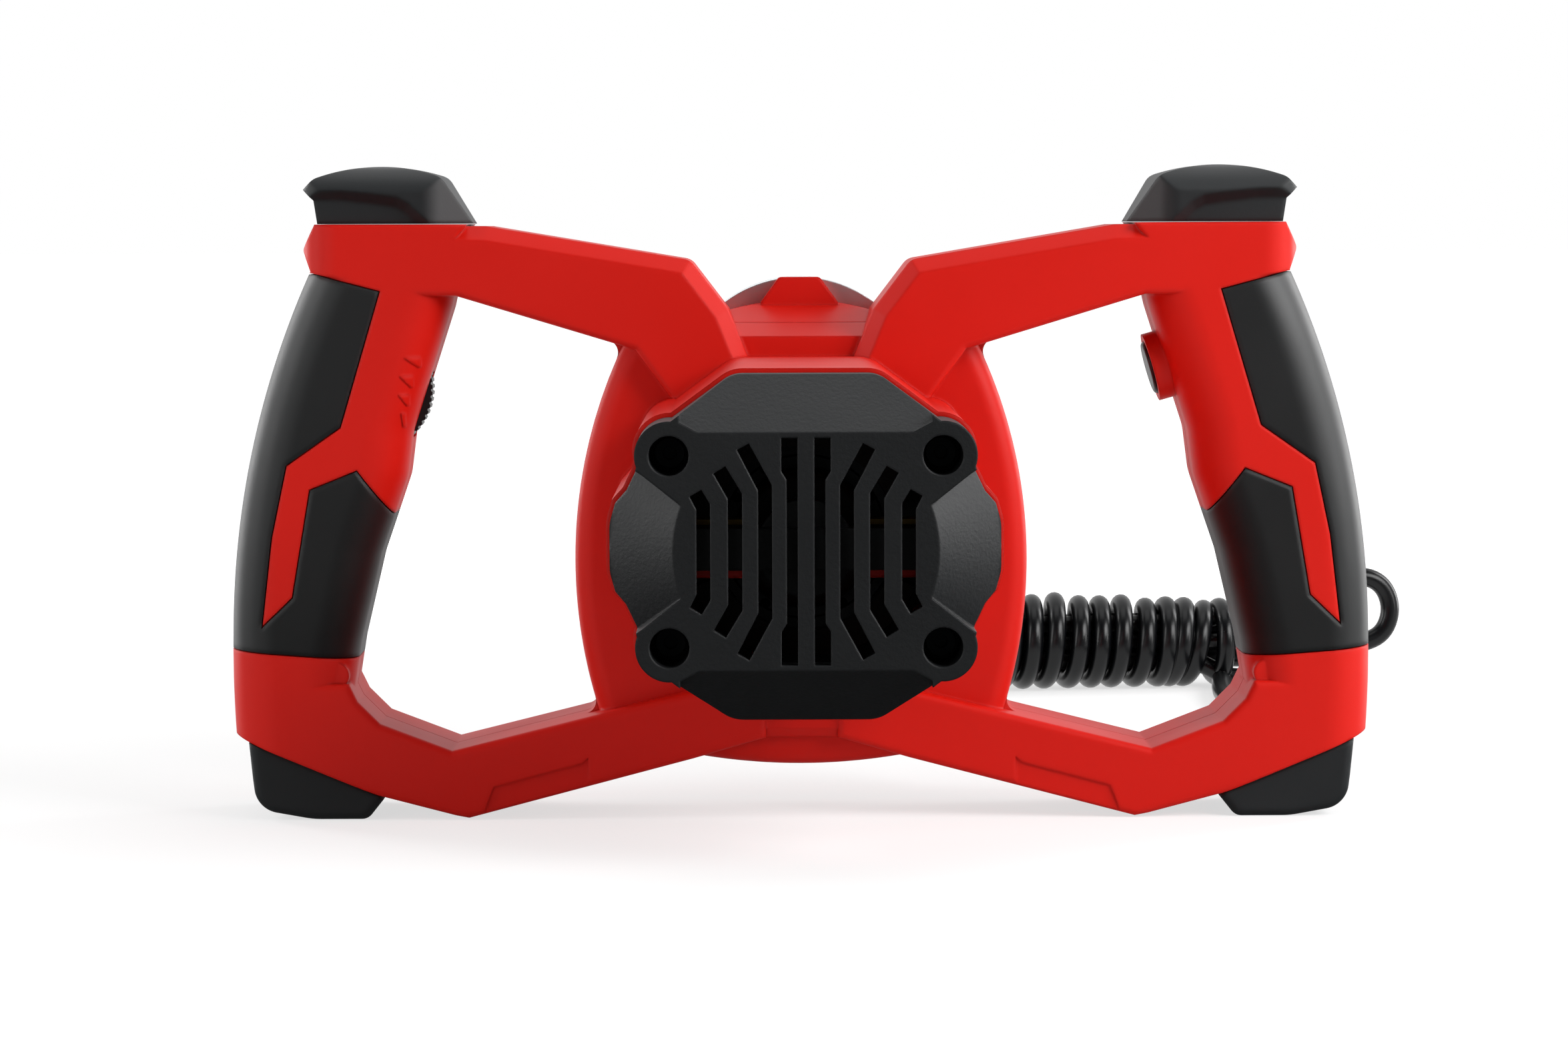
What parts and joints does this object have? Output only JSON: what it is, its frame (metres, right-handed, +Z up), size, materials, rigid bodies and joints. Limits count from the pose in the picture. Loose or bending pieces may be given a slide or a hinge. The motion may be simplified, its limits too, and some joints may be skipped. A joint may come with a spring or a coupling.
{
  "type": "twin-handle power mixer head",
  "caption": "Hand-held electric mixing machine head with two D-shaped handles, vented motor cap, offset gear nose, output spindle, rubber feet and mains cord.",
  "frame": {"origin": "middle of the footprint on the floor, under the machine without its free cord", "axes": "+X to the right seen from the motor cap, +Y along the spindle away from the cap, +Z up"},
  "size_m": [0.4169, 0.4963, 0.205],
  "materials": {
    "red_plastic": "satin moulded red, fine texture",
    "dark_plastic": "fine leather grain, dark grey",
    "soft_rubber": "matt soft-touch",
    "black_plastic": "matt",
    "cord_jacket": "satin black",
    "cast_aluminium": "as cast, bead blasted",
    "steel": "turned",
    "dark_steel": "black oxide",
    "screw_steel": "zinc",
    "lamination": "stacked sheet",
    "copper": "enamelled wire",
    "brass": "pressed",
    "carbon": "matt",
    "circuit_board": "satin"
  },
  "bodies": {
    "frame": {"motor_side_shell": "red_plastic", "gear_side_shell": "red_plastic", "motor_cap": "dark_plastic", "cap_screws": "dark_steel", "shell_screws": "screw_steel", "grip_right": "soft_rubber", "grip_left": "soft_rubber", "bumper_right": "soft_rubber", "bumper_left": "soft_rubber", "foot_right": "soft_rubber", "foot_left": "soft_rubber", "switch_body": "black_plastic", "speed_potentiometer": "black_plastic", "speed_board": "circuit_board", "gearbox_housing": "cast_aluminium", "gearbox_plate": "cast_aluminium", "gearbox_screws": "screw_steel", "plate_screws": "screw_steel", "cap_bearing": "steel", "motor_bearing": "steel", "layshaft_rear_bearing": "steel", "layshaft_front_bearing": "steel", "spindle_rear_bearing": "steel", "spindle_nose_bearing": "steel", "nose_circlip": "dark_steel", "spindle_seal": "black_plastic", "stator_core": "lamination", "field_coils": "copper", "brush_holders": "brass", "carbon_brushes": "carbon", "brush_springs": "steel", "strain_relief": "cord_jacket", "cord_jacket_end": "cord_jacket", "cord_clamp": "black_plastic", "cord_clamp_screws": "screw_steel", "inner_leads": "cord_jacket", "cord_lead": "cord_jacket", "cord_hank": "cord_jacket", "plug_body": "cord_jacket", "plug_pins": "steel"},
    "armature": {"armature_shaft": "steel", "armature_core": "lamination", "armature_windings": "copper", "commutator": "copper", "cooling_fan": "dark_plastic"},
    "lay": {"layshaft": "dark_steel", "first_stage_gear": "dark_steel"},
    "spindle": {"output_spindle": "steel", "output_gear": "dark_steel"},
    "button": {"switch_button": "black_plastic"},
    "dial": {"speed_dial": "black_plastic"}
  },
  "joints": [
    {"name": "spindle_spin", "type": "hinge", "parent": "frame", "child": "spindle", "pos_m": [0, 0.1, 0.1295], "axis": [0, 1, 0], "continuous": true},
    {"name": "layshaft_spin", "type": "hinge", "parent": "frame", "child": "lay", "pos_m": [0.02504, 0.03, 0.09882], "axis": [0, 1, 0], "continuous": true},
    {"name": "armature_spin", "type": "hinge", "parent": "frame", "child": "armature", "pos_m": [0, -0.05, 0.094], "axis": [0, 1, 0], "continuous": true},
    {"name": "switch_press", "type": "slide", "parent": "frame", "child": "button", "axis": [0.9622, 0, 0.2723], "range_m": [0, 0.0035], "stiffness_N_per_m": 400, "springref_m": -0.002},
    {"name": "dial_turn", "type": "hinge", "parent": "frame", "child": "dial", "pos_m": [-0.1365, 0, 0.1352], "axis": [0, 1, 0], "range_deg": [-135, 135]}
  ],
  "couplings": [
    {"joint": "layshaft_spin", "follows": "spindle_spin", "ratio": -5.6},
    {"joint": "armature_spin", "follows": "spindle_spin", "ratio": 22.96}
  ]
}
